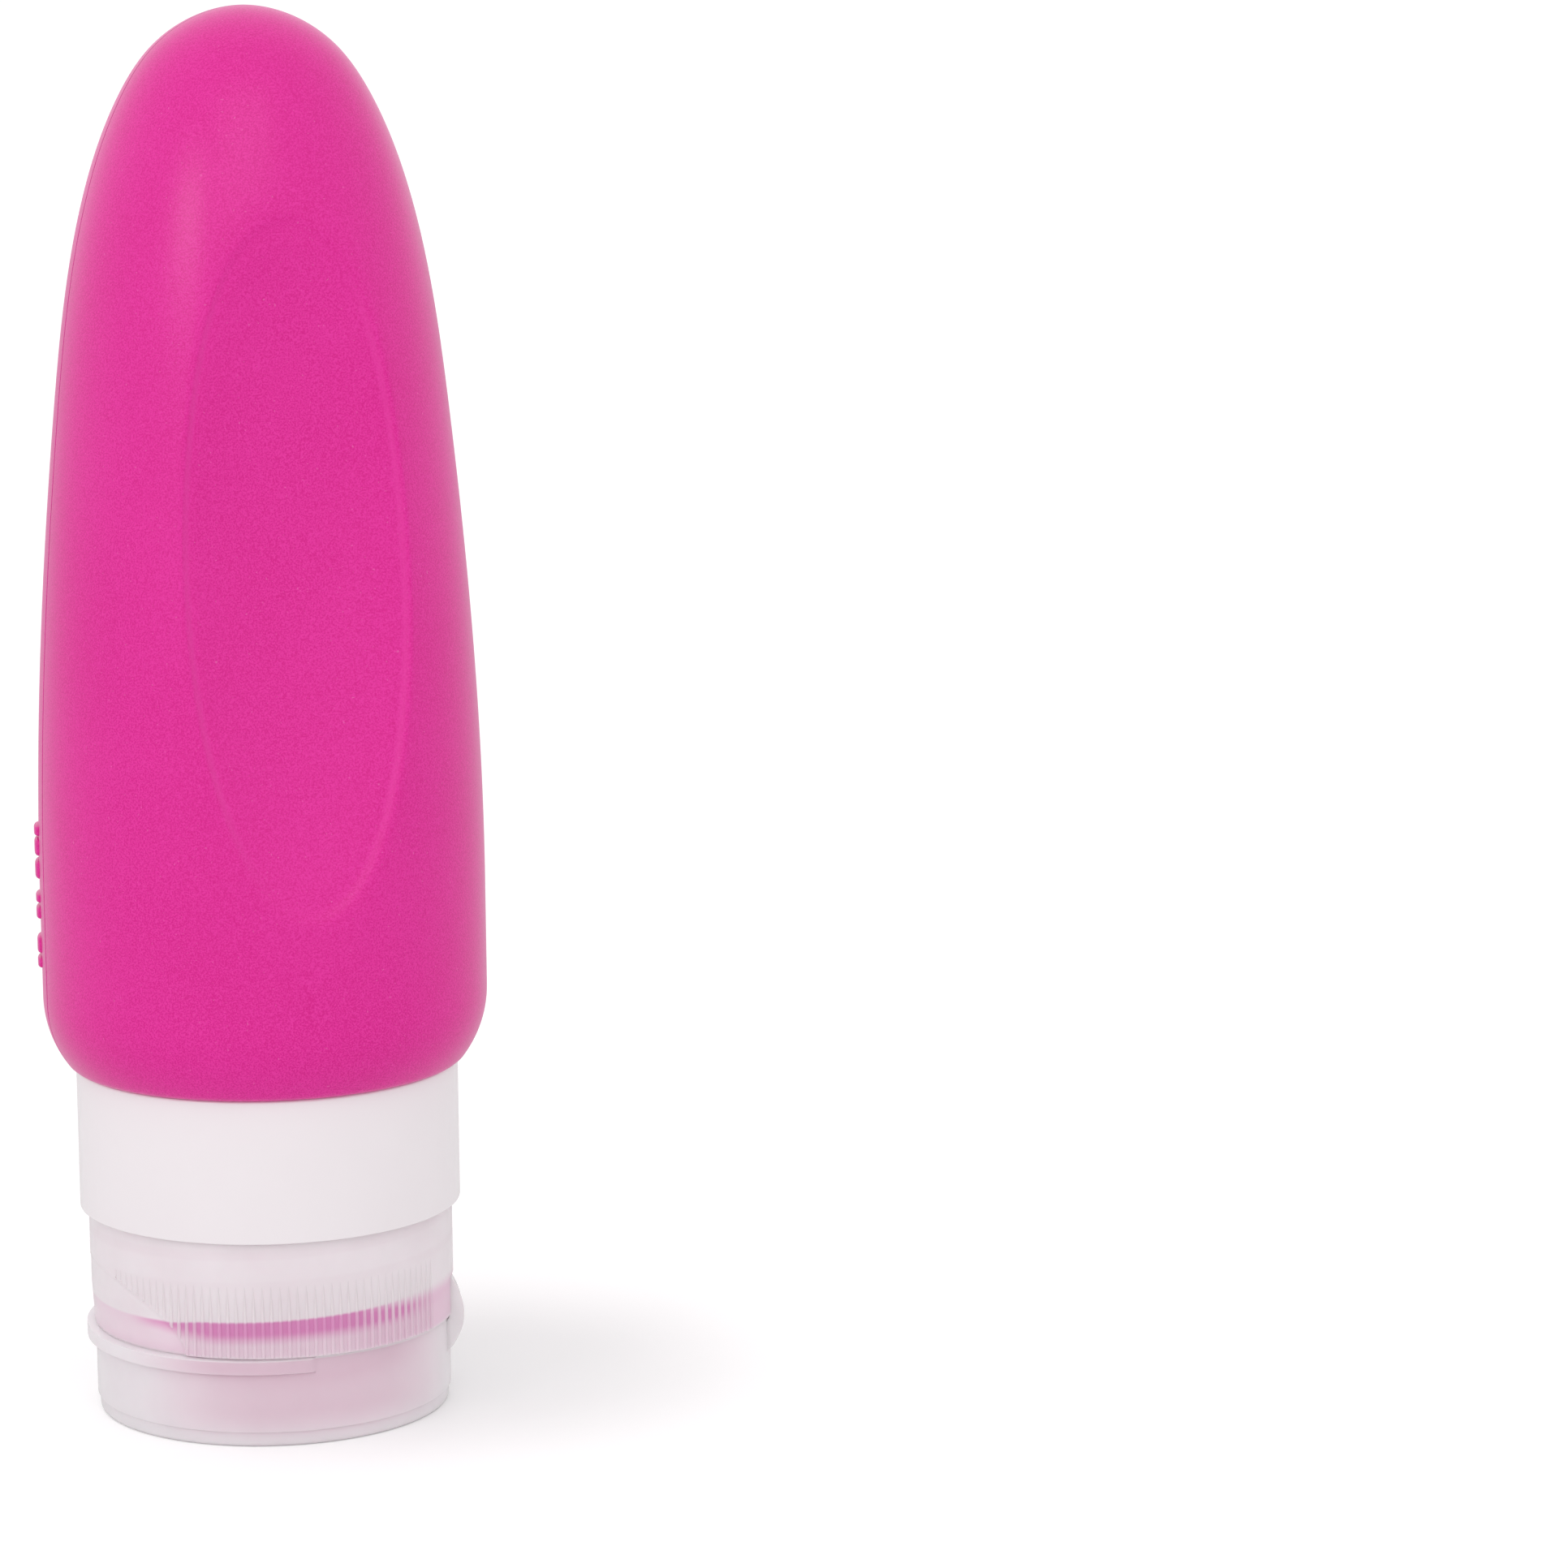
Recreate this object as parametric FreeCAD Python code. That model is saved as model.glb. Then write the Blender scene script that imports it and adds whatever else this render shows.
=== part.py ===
import FreeCAD, Part
import math
import os

# A squeezable travel bottle that stands on its flip-top lid.
# Millimetres, +Z up, origin at the centre of the lid's flat face, on the bottle's axis.
# The thumb dish faces -Y, the lid's hinge is at +X and its thumb lip at -X.

Vector = FreeCAD.Vector
ORIGIN = Vector(0, 0, 0)
UP = Vector(0, 0, 1)

# Fits between pieces
snap_fit = 0.05
loose_fit = 0.10
lid_gap = 0.10
collar_gap = 0.20
orifice_gap = 0.20

# Lid, closed under the cap
lid_height = 9.25
lid_radius = 18.05
lid_wall = 1.30
lid_plate = 1.30
foot_height = 1.50
foot_inset = 0.25
foot_round = 0.40
seal_ring_overhang = 0.40
seal_ring_wall = 1.30
seal_ring_end = 6.10
boss_gap = 1.80
boss_wall = 0.90
boss_end = 5.60
pin_radius = 1.40
pin_end = 8.50
pin_rib_width = 0.70
pin_rib_end = 4.40
lip_reach = 0.90
lip_edge = 0.25
lip_height = 1.60
lip_drop = 0.10

# Flip-top cap base
cap_overhang = 0.40
cap_height = 11.75
cap_wall = 1.25
rim_width = 1.55
rim_step = 0.45
ledge_width = 1.80
ledge_gap_width = 3.20
ledge_gaps = 3
deck_thickness = 0.85
deck_recess = 0.95
ridge_inset = 1.10
ridge_width = 0.50
ridge_height = 0.75
nozzle_step = 3.85
nozzle_ledge = 1.70
nozzle_reach = 6.40
bore_ledge = 1.60
bore_floor = 1.05
# Shares of the lid's radius
nozzle_share = 0.6094
bore_share = 0.3324
scoop_half_width = 13.90
scoop_height = 7.10
scoop_depth = 0.60

# Living hinge between the cap base and the lid
hinge_bulge = 1.25
hinge_half_width = 8.00
hinge_half_height = 3.90
hinge_web = 0.50
hinge_root_web = 0.06
hinge_bead = 0.22
hinge_clearance = 0.05
skirt_notch_depth = 1.90

# Drip valve, a silicone disc that is also the cap's gasket
valve_inset = 0.60
valve_thickness = 1.50
valve_hub_reach = 1.90
valve_hub_wall = 0.80
valve_skin = 0.60
valve_dome = 0.80
slit_width = 0.16
# Share of the skin's width
slit_share = 0.735

# Neck insert, pushed into the silicone neck from inside
thread_room = 0.90
neck_wall = 2.10
barb_reach = 1.30
barb_height = 1.20
snap_bead = 0.45
snap_bead_height = 0.80

# Collar ring, clamped round the silicone neck
collar_height = 14.56
collar_wall = 1.20
collar_ledge = 1.20
collar_round = 0.40

# Silicone squeeze body
body_overhang = 3.10
body_height = 106.00
body_wall = 3.00
silicone_neck_wall = 1.70
shoulder_overhang = 0.55
shoulder_height = 7.10
shoulder_floor = 1.45
waist_height = 18.00
# Shares of the height above the waist and of the greatest radius
dome_shares = [(0.270, 0.9665), (0.549, 0.8740), (0.778, 0.7308), (0.901, 0.5530), (0.9596, 0.3866)]

# Thumb dish in the front of the body
dish_bottom = 17.30
dish_length = 70.50
dish_depth = 4.60
# Share of the body's width
dish_share = 0.507

# Radii worked out from the radius of the lid
cap_radius = lid_radius + cap_overhang
hinge_reach = cap_radius
hinge_flat = hinge_reach - hinge_bulge
thread_bore = cap_radius - cap_wall
valve_radius = thread_bore - valve_inset
valve_seat_radius = valve_radius + loose_fit
neck_radius = thread_bore - thread_room
neck_bore = neck_radius - neck_wall
barb_radius = neck_radius + barb_reach
sleeve_radius = neck_radius + snap_fit
silicone_neck = sleeve_radius + silicone_neck_wall
collar_bore = silicone_neck + snap_fit
collar_radius = collar_bore + collar_wall
body_radius = collar_radius + body_overhang
dish_half_width = dish_share * body_radius
rim_inner = cap_radius - rim_width
ledge_inner = rim_inner - ledge_width
ridge_radius = ledge_inner - ridge_inset
nozzle_radius = nozzle_share * lid_radius
lip_outer = nozzle_radius - nozzle_ledge
seal_ring_radius = nozzle_radius + seal_ring_overhang
bore_radius = bore_share * lid_radius
orifice_radius = bore_radius - bore_ledge
boss_radius = bore_radius - boss_gap

# Levels worked out from the sizes above
joint_plane = lid_height
cap_top = joint_plane + cap_height
deck_floor = joint_plane + deck_recess
deck_top = deck_floor + deck_thickness
valve_floor = deck_top + snap_fit
valve_top = valve_floor + valve_thickness
neck_end = valve_top + snap_fit
collar_bottom = cap_top + collar_gap
collar_top = collar_bottom + collar_height
shoulder_bottom = collar_top + loose_fit
body_top = shoulder_bottom + body_height
silicone_neck_end = collar_bottom + collar_ledge + snap_fit
barb_floor = shoulder_bottom + shoulder_floor


def point(radius, height):
    """A point of a half section, in the XZ plane."""
    return Vector(radius, 0, height)


def revolved(edges):
    """A solid of revolution about the bottle's axis, from the edges of a closed half section."""
    wire = Part.Wire(Part.__sortEdges__(edges))
    return Part.Face(wire).revolve(ORIGIN, UP, 360)


def turned(corners):
    """A solid of revolution whose half section is a polygon of (radius, height) corners."""
    wire = Part.makePolygon([point(*corner) for corner in corners + corners[:1]])
    return Part.Face(wire).revolve(ORIGIN, UP, 360)


def tube(outer, inner, bottom, top):
    return turned([(inner, bottom), (outer, bottom), (outer, top), (inner, top)])


def sector(outer, inner, bottom, top, middle, half_angle):
    """A piece of a tube about the bottle's axis, centred on a bearing from +X in degrees."""
    height = top - bottom
    wedge = Part.makeCylinder(outer, height, Vector(0, 0, bottom), UP, 2 * half_angle)
    wedge = wedge.cut(Part.makeCylinder(inner, height, Vector(0, 0, bottom)))
    wedge.rotate(ORIGIN, UP, middle - half_angle)
    return wedge


def block(x0, x1, half_width, z0, z1):
    return Part.makeBox(x1 - x0, 2 * half_width, z1 - z0, Vector(x0, -half_width, z0))


def dome_edge(radius, top):
    """The body's side and nose, one smooth curve from the waist up to the axis."""
    waist = shoulder_bottom + waist_height
    rise = top - waist
    points = [point(radius, waist)]
    points += [point(radius * width, waist + rise * height) for height, width in dome_shares]
    points += [point(0, top)]
    curve = Part.BSplineCurve()
    curve.interpolate(Points=points, InitialTangent=Vector(0, 0, rise), FinalTangent=Vector(-radius, 0, 0))
    return curve.toShape()


def shoulder_arc(radius, foot_radius, bottom, rise):
    """An arc from the shoulder's foot, ending upright on the body's side."""
    inset = radius - foot_radius
    arc_radius = (inset * inset + rise * rise) / (2 * inset)
    half_turn = math.asin(rise / arc_radius) / 2
    middle = point(radius - arc_radius + arc_radius * math.cos(half_turn),
                   bottom + rise - arc_radius * math.sin(half_turn))
    return Part.Arc(point(foot_radius, bottom), middle, point(radius, bottom + rise)).toShape()


def line(start, end):
    return Part.makeLine(start, end)


def body_side(radius, foot_radius, bottom, rise, top):
    """Shoulder, straight side and dome, from the foot of the shoulder up to the axis."""
    waist = point(radius, shoulder_bottom + waist_height)
    return [shoulder_arc(radius, foot_radius, bottom, rise),
            line(point(radius, bottom + rise), waist),
            dome_edge(radius, top)]


def dish_torus(growth):
    """The tool that presses the dish, a piece of a wide torus, grown by a wall when asked."""
    side = dome_edge(body_radius, body_top)

    def skin(height):
        level = line(point(0, height), point(2 * body_radius, height))
        return side.distToShape(level)[1][0][0].x

    low = shoulder_bottom + dish_bottom
    high = low + dish_length
    middle = (low + high) / 2
    floor = skin(middle) - dish_depth
    spine = Part.Arc(Vector(0, -skin(low), low), Vector(0, -floor, middle),
                     Vector(0, -skin(high), high)).toShape().Curve
    rim = math.sqrt(skin(middle) ** 2 - dish_half_width ** 2)
    hollow = rim - floor
    tube_radius = (dish_half_width ** 2 + hollow ** 2) / (2 * hollow)
    return Part.makeTorus(spine.Radius - tube_radius, tube_radius + growth, spine.Center, Vector(1, 0, 0))


def make_squeeze_body():
    foot = collar_radius + shoulder_overhang
    outer = body_side(body_radius, foot, shoulder_bottom, shoulder_height, body_top)
    outer += [line(point(0, body_top), point(0, silicone_neck_end)),
              line(point(0, silicone_neck_end), point(silicone_neck, silicone_neck_end)),
              line(point(silicone_neck, silicone_neck_end), point(silicone_neck, shoulder_bottom)),
              line(point(silicone_neck, shoulder_bottom), point(foot, shoulder_bottom))]
    inner_radius = body_radius - body_wall
    inner_top = body_top - body_wall
    inner_rise = shoulder_height - shoulder_floor
    inner = body_side(inner_radius, sleeve_radius, barb_floor, inner_rise, inner_top)
    inner += [line(point(0, inner_top), point(0, barb_floor)),
              line(point(0, barb_floor), point(sleeve_radius, barb_floor))]
    skin = revolved(outer).cut(dish_torus(0))
    hollow = revolved(inner).cut(dish_torus(body_wall))
    neck_hole = Part.makeCylinder(sleeve_radius, barb_floor - silicone_neck_end, Vector(0, 0, silicone_neck_end))
    barb_room = tube(barb_radius + loose_fit, sleeve_radius - loose_fit, barb_floor, barb_floor + barb_height)
    return skin.cut(hollow).cut(neck_hole).cut(barb_room)


def make_collar_ring():
    ring = turned([(sleeve_radius, collar_bottom), (collar_radius, collar_bottom), (collar_radius, collar_top),
                   (collar_bore, collar_top), (collar_bore, collar_bottom + collar_ledge),
                   (sleeve_radius, collar_bottom + collar_ledge)])
    outer_edges = [edge for edge in ring.Edges
                   if isinstance(edge.Curve, Part.Circle) and abs(edge.Curve.Radius - collar_radius) < snap_fit]
    return ring.makeFillet(collar_round, outer_edges)


def make_neck_insert():
    bead_top = collar_bottom - snap_fit
    bead_bottom = bead_top - snap_bead_height
    barb_top = barb_floor + snap_fit + barb_height
    return turned([(neck_bore, neck_end), (neck_radius, neck_end), (neck_radius, bead_bottom),
                   (neck_radius + snap_bead, bead_top), (neck_radius, bead_top),
                   (neck_radius, barb_floor + snap_fit), (barb_radius, barb_floor + snap_fit),
                   (barb_radius, barb_floor + snap_fit + barb_height / 2), (neck_radius, barb_top),
                   (neck_bore, barb_top)])


def make_drip_valve():
    """A disc with a hollow hub, closed by a thin bowed skin that is slit in a cross."""
    hub = orifice_radius - orifice_gap
    well = hub - valve_hub_wall
    hub_end = valve_floor - valve_hub_reach
    crown = Vector(0, 0, hub_end + valve_dome)
    crown_top = Vector(0, 0, hub_end + valve_dome + valve_skin)
    bow = well * math.sqrt(0.5)
    outer_bow = Part.Arc(crown, point(bow, hub_end + valve_dome / 2), point(well, hub_end)).toShape()
    inner_bow = Part.Arc(crown_top, point(bow, hub_end + valve_dome / 2 + valve_skin),
                         point(well, hub_end + valve_skin)).toShape()
    section = [outer_bow, inner_bow, line(crown, crown_top),
               line(point(well, hub_end), point(hub, hub_end)),
               line(point(hub, hub_end), point(hub, valve_floor)),
               line(point(hub, valve_floor), point(valve_radius, valve_floor)),
               line(point(valve_radius, valve_floor), point(valve_radius, valve_top)),
               line(point(valve_radius, valve_top), point(well, valve_top)),
               line(point(well, valve_top), point(well, hub_end + valve_skin))]
    slit = block(-slit_share * well, slit_share * well, slit_width / 2, hub_end, valve_top)
    cross_slit = slit.copy()
    cross_slit.rotate(ORIGIN, UP, 90)
    return revolved(section).cut(slit).cut(cross_slit)


def finger_arch():
    """A bar from the axis out to -X, half an ellipse in section, that stands on the joint plane."""
    stretch = FreeCAD.Matrix()
    stretch.scale(1, scoop_half_width, scoop_height)
    stretch.move(0, 0, joint_plane)
    bar = Part.makeCylinder(1, 2 * cap_radius, ORIGIN, Vector(-1, 0, 0)).transformGeometry(stretch)
    return bar.common(block(-2 * cap_radius, 0, 2 * cap_radius, joint_plane, cap_top))


def make_cap_base():
    """Screw wall, deck and stepped nozzle in one half section, whose pouring lip is a half round."""
    floor_bottom = deck_floor - bore_floor
    step = deck_floor - nozzle_step
    ledge = joint_plane + rim_step
    ridge_end = deck_floor - ridge_height
    nozzle_end = deck_floor - nozzle_reach
    lip_start = nozzle_end + (lip_outer - bore_radius) / 2
    lip = Part.Arc(point(bore_radius, lip_start), point((bore_radius + lip_outer) / 2, nozzle_end),
                   point(lip_outer, lip_start)).toShape()
    section = [(lip_outer, lip_start), (lip_outer, step), (nozzle_radius, step), (nozzle_radius, deck_floor),
               (ridge_radius - ridge_width, deck_floor), (ridge_radius - ridge_width, ridge_end),
               (ridge_radius, ridge_end), (ridge_radius, deck_floor), (ledge_inner, deck_floor),
               (ledge_inner, ledge), (rim_inner, ledge), (rim_inner, joint_plane), (cap_radius, joint_plane),
               (cap_radius, cap_top), (thread_bore, cap_top), (thread_bore, valve_top),
               (valve_seat_radius, valve_top), (valve_seat_radius, deck_top), (orifice_radius, deck_top),
               (orifice_radius, floor_bottom), (bore_radius, floor_bottom), (bore_radius, lip_start)]
    corners = [point(*corner) for corner in section]
    edges = [line(start, end) for start, end in zip(corners, corners[1:])]
    base = revolved(edges + [lip])
    scoop = finger_arch().cut(Part.makeCylinder(cap_radius - scoop_depth, cap_height, Vector(0, 0, joint_plane)))
    flat = block(hinge_flat, 2 * cap_radius, cap_radius, joint_plane, joint_plane + hinge_half_height)
    base = base.cut(scoop).cut(flat)
    gap_angle = math.degrees(ledge_gap_width / ledge_inner) / 2
    for index in range(ledge_gaps):
        bearing = 90 + 360 * index / ledge_gaps
        base = base.cut(sector(rim_inner, ledge_inner, ledge, deck_floor, bearing, gap_angle))
    return base


def strap_bow():
    """The hinge strap's two radii, its centre's distance from the axis and its hollow's half height."""
    bow = hinge_bulge - hinge_root_web
    outer_radius = (bow * bow + hinge_half_height ** 2) / (2 * bow)
    inner_radius = outer_radius - hinge_web
    centre = hinge_reach - outer_radius
    hollow = math.sqrt(inner_radius ** 2 - (hinge_flat - centre) ** 2)
    return outer_radius, inner_radius, centre, hollow


def hinge_leaf(direction):
    """Half of the bowed hinge strap: direction is 1 above the fold and -1 below it."""
    outer_radius, inner_radius, centre, meet = strap_bow()
    tip = hinge_half_height

    def on(radius, rise):
        return Vector(centre + math.sqrt(radius ** 2 - rise ** 2), 0, joint_plane + direction * rise)

    root_tip = Vector(hinge_flat, 0, joint_plane + direction * tip)
    edges = [Part.Arc(on(outer_radius, 0), on(outer_radius, tip / 2), on(outer_radius, tip)).toShape(),
             line(on(outer_radius, tip), root_tip),
             line(root_tip, on(inner_radius, meet)),
             Part.Arc(on(inner_radius, meet), on(inner_radius, meet / 2), on(inner_radius, 0)).toShape(),
             line(on(inner_radius, 0), on(outer_radius, 0))]
    face = Part.Face(Part.Wire(Part.__sortEdges__(edges)))
    leaf = face.extrude(Vector(0, 2 * hinge_half_width, 0))
    leaf.translate(Vector(0, -hinge_half_width, 0))
    return leaf


def fold_cylinder(radius):
    start = Vector(hinge_reach, -hinge_half_width, joint_plane)
    return Part.makeCylinder(radius, 2 * hinge_half_width, start, Vector(0, 1, 0))


def make_hinge_leaf_base():
    return hinge_leaf(1).cut(fold_cylinder(hinge_bead + hinge_clearance))


def make_hinge_leaf_lid():
    short = block(0, hinge_reach - hinge_bead, hinge_half_width, joint_plane - hinge_clearance, cap_top)
    return hinge_leaf(-1).cut(short).fuse(fold_cylinder(hinge_bead)).removeSplitter()


def make_lid():
    rim = joint_plane - lid_gap
    skirt = lid_radius - lid_wall
    foot = lid_radius - foot_inset
    ring_inner = seal_ring_radius - seal_ring_wall
    boss_inner = boss_radius - boss_wall
    lid = turned([(0, 0), (foot - foot_round, 0), (foot, foot_round), (foot, foot_height),
                  (lid_radius, foot_height), (lid_radius, rim), (skirt, rim), (skirt, lid_plate), (0, lid_plate)])
    lip_bottom = rim - lip_drop - lip_height
    crescent = Part.makeCylinder(lid_radius + lip_edge, lip_height, Vector(lip_edge - lip_reach, 0, lip_bottom))
    crescent = crescent.cut(Part.makeCylinder(lid_radius - lid_wall / 2, lip_height, Vector(0, 0, lip_bottom)))
    crescent = crescent.cut(block(0, 2 * lid_radius, 2 * lid_radius, lip_bottom, rim))
    root = lid_plate / 2
    pin = Part.makeCylinder(pin_radius, pin_end - pin_radius - root, Vector(0, 0, root))
    pin_nose = Part.makeSphere(pin_radius, Vector(0, 0, pin_end - pin_radius))
    rib = block(-pin_rib_width / 2, pin_rib_width / 2, boss_radius - boss_wall / 2, root, pin_rib_end)
    lid = lid.multiFuse([crescent, tube(seal_ring_radius, ring_inner, root, seal_ring_end),
                         tube(boss_radius, boss_inner, root, boss_end), pin, pin_nose, rib])
    flat = block(hinge_flat, 2 * lid_radius, lid_radius, joint_plane - hinge_half_height, joint_plane)
    notch = block(hinge_flat - skirt_notch_depth, lid_radius, hinge_half_width + loose_fit,
                  joint_plane - strap_bow()[3], joint_plane)
    return lid.cut(flat).cut(notch).removeSplitter()


PIECES = {
    "squeeze_body": make_squeeze_body,
    "collar_ring": make_collar_ring,
    "neck_insert": make_neck_insert,
    "drip_valve": make_drip_valve,
    "cap_base": make_cap_base,
    "hinge_leaf_base": make_hinge_leaf_base,
    "hinge_leaf_lid": make_hinge_leaf_lid,
    "lid": make_lid,
}

os.makedirs("parts", exist_ok=True)
for node, make in PIECES.items():
    shape = make()
    print(node, "valid", shape.isValid(), "solids", len(shape.Solids), "volume", round(shape.Volume, 1))
    shape.exportStep("parts/" + node + ".step")
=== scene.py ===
import math

import bmesh
import bpy
import numpy as np
from mathutils import Matrix, Vector


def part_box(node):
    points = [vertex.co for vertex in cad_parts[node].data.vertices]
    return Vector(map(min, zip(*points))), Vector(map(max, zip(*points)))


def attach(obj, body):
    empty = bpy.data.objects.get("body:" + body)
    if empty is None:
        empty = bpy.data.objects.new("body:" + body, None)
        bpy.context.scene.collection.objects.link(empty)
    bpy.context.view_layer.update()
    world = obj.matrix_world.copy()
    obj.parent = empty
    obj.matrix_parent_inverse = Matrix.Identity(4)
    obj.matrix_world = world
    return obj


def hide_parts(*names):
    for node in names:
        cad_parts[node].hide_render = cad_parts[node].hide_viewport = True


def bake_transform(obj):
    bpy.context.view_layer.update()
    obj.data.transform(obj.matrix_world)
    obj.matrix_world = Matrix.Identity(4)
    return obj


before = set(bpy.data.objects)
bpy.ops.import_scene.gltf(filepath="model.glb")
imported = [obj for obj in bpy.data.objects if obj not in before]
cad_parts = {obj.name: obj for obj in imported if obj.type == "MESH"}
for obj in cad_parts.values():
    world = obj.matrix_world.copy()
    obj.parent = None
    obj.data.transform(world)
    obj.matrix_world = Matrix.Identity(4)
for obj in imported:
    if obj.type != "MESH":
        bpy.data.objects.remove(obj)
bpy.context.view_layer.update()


# Silicone squeeze body
# One hollow moulding of soft, satin silicone with a thumb dish pressed into its front.
# It is cast in two halves that part at the left and right, and its neck hides inside the collar.
body_radius = 0.0224
body_wall = 0.0030
body_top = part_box("squeeze_body")[1][2]
body_columns = 240
neck_outside = 0.01805
neck_inside = 0.01635
neck_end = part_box("squeeze_body")[0][2]
shoulder_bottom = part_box("collar_ring")[1][2] + 0.0001
shoulder_foot = 0.01985
shoulder_height = 0.0071
shoulder_floor = 0.00145
shoulder_inset, shoulder_bevel, shoulder_lift = 0.0003, 0.00008, 0.00006
shoulder_rows, room_shoulder_rows = 18, 8
waist = shoulder_bottom + 0.018
waist_rows, waist_gap = 10, 0.001
dome_shares = [(0.270, 0.9665), (0.549, 0.8740), (0.778, 0.7308), (0.901, 0.5530), (0.9596, 0.3866)]
dome_rows, room_dome_rows, dome_samples = 170, 44, 400
dish_low = shoulder_bottom + 0.0177
dish_length = 0.0692
dish_middle = dish_low + dish_length / 2
dish_half_width = 0.507 * body_radius
dish_depth = 0.0046
dish_bearing = math.pi / 3
dish_margin = 0.002
tool_limit = 0.98
search_steps = 40
rim_softness = 0.00011
rim_end_softness = 4
rim_end_power, rim_end_limit, rim_low_share = 4, 1.1, 0.8
rim_step, rim_end_loss = 0.00029, 0.6
rim_wall = 0.00045
rim_rebound, rim_rebound_reach = 0.4, 2.2
rim_reach, rim_cuts = 0.0012, 3
axis_clear = 0.001
seam_depth = 0.00010
seam_width = 0.00010
seam_steps = np.array([-3, -2, -1.4, -1, -0.6, -0.3, 0, 0.3, 0.6, 1, 1.4, 2, 3])
seam_clear = 4
seam_end = 0.0005
silicone_pink = (0.82, 0.022, 0.355, 1)
silicone_deep = (0.70, 0.0, 0.255, 1)
silicone_dust = (0.92, 0.30, 0.62, 1)
# Painted highlight: a paler line just inside the dish's rim, fading out towards the dish's two ends.
dish_rim_highlight = (0.82, 0.032, 0.365, 1)
dish_highlight_start, dish_highlight_end = (0.00005, 0.00025), (0.00035, 0.00065)
dish_highlight_fade = (0.30 * dish_length, 0.47 * dish_length)
dish_highlight_share = 0.5
seam_dark = (0.44, 0.006, 0.150, 1)
speckle_grain, cloud_grain, dust_grain = (6500, 1), (60, 3), (4200, 0)
cloud_share = 0.15
mottle_range = (0.35, 0.65)
dust_share, dust_range = 0.25, (0.79, 0.88)
satin_rough = (0.25, 0.33)
silicone_shine = 0.4
speckle_bump = (0.00003, 0.5)
double_distance, degenerate_length = 1e-7, 1e-8
sharp_angle = math.radians(38)


def smooth_curve(points, start, end, count):
    """Points of a smooth curve through (radius, height) points, with both end directions set."""
    knots = np.array(points, float)
    gaps = np.diff(knots, axis=0)
    steps = np.linalg.norm(gaps, axis=1)
    at = np.concatenate([[0], np.cumsum(steps)])
    system = np.eye(len(at))
    slopes = np.zeros((len(at), 2))
    slopes[0], slopes[-1] = start, end
    for i in range(1, len(at) - 1):
        before, after = steps[i - 1], steps[i]
        system[i, i - 1:i + 2] = after, 2 * (before + after), before
        slopes[i] = 3 * (after / before * gaps[i - 1] + before / after * gaps[i])
    slopes = np.linalg.solve(system, slopes)
    along = np.linspace(0, at[-1], count)
    i = np.clip(np.searchsorted(at, along) - 1, 0, len(at) - 2)
    step = steps[i][:, None]
    u = (along - at[i])[:, None] / step
    return ((1 + 2 * u) * (1 - u) ** 2 * knots[i] + u * (1 - u) ** 2 * step * slopes[i]
            + u * u * (3 - 2 * u) * knots[i + 1] - u * u * (1 - u) * step * slopes[i + 1])


def arc(start, end, centre, count):
    """Points of the shorter arc from start to end about a centre."""
    a = math.atan2(start[1] - centre[1], start[0] - centre[0])
    b = math.atan2(end[1] - centre[1], end[0] - centre[0])
    turn = (b - a + math.pi) % (2 * math.pi) - math.pi
    radius = math.hypot(start[0] - centre[0], start[1] - centre[1])
    angles = a + turn * np.linspace(0, 1, count)
    return np.stack([centre[0] + radius * np.cos(angles), centre[1] + radius * np.sin(angles)], 1)


def full_turn(count):
    return np.linspace(-math.pi, math.pi, count, endpoint=False)


def dome(radius, top, count):
    points = [(radius, waist)]
    points += [(radius * share, waist + (top - waist) * height) for height, share in dome_shares]
    return smooth_curve(points + [(0, top)], (0, 1), (-1, 0), count)


def shoulder(radius, foot, bottom, rise, count):
    inset = radius - foot
    bend = (inset * inset + rise * rise) / (2 * inset)
    return arc((foot, bottom), (radius, bottom + rise), (radius - bend, bottom + rise), count)


body_side = dome(body_radius, body_top, dome_samples)


def skin(level):
    """Radius of the body at a level, as if it had no dish."""
    return np.interp(level, body_side[:, 1], body_side[:, 0])


def dish_floor(angle, height, growth=0):
    """Radius at which a ray from the axis meets the dish's pressing tool, a piece of a wide torus."""
    dish_high = dish_low + dish_length
    deepest = skin(dish_middle) - dish_depth
    y = np.array([-skin(dish_low), -deepest, -skin(dish_high)])
    z = np.array([dish_low, dish_middle, dish_high])
    circle = np.linalg.solve(np.stack([2 * y, 2 * z, np.ones(3)], 1), y * y + z * z)
    reach = math.sqrt(circle[2] + circle[0] ** 2 + circle[1] ** 2)
    hollow = math.sqrt(skin(dish_middle) ** 2 - dish_half_width ** 2) - deepest
    tube = (dish_half_width ** 2 + hollow ** 2) / (2 * hollow)
    near, far = np.zeros_like(angle), np.full_like(angle, 2 * body_radius)
    for _ in range(search_steps):
        radius = (near + far) / 2
        across = np.minimum(np.abs(radius * np.sin(angle)), tool_limit * tube)
        out = np.hypot(-radius * np.cos(angle) - circle[0], height - circle[1])
        outside = out > reach - tube + np.sqrt((tube + growth) ** 2 - across ** 2)
        near, far = np.where(outside, radius, near), np.where(outside, far, radius)
    return near


def eased(value, low, high):
    """Value mapped smoothly so that low gives 0 and high gives 1."""
    share = np.clip((value - low) / (high - low), 0, 1)
    return share * share * (3 - 2 * share)


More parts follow.
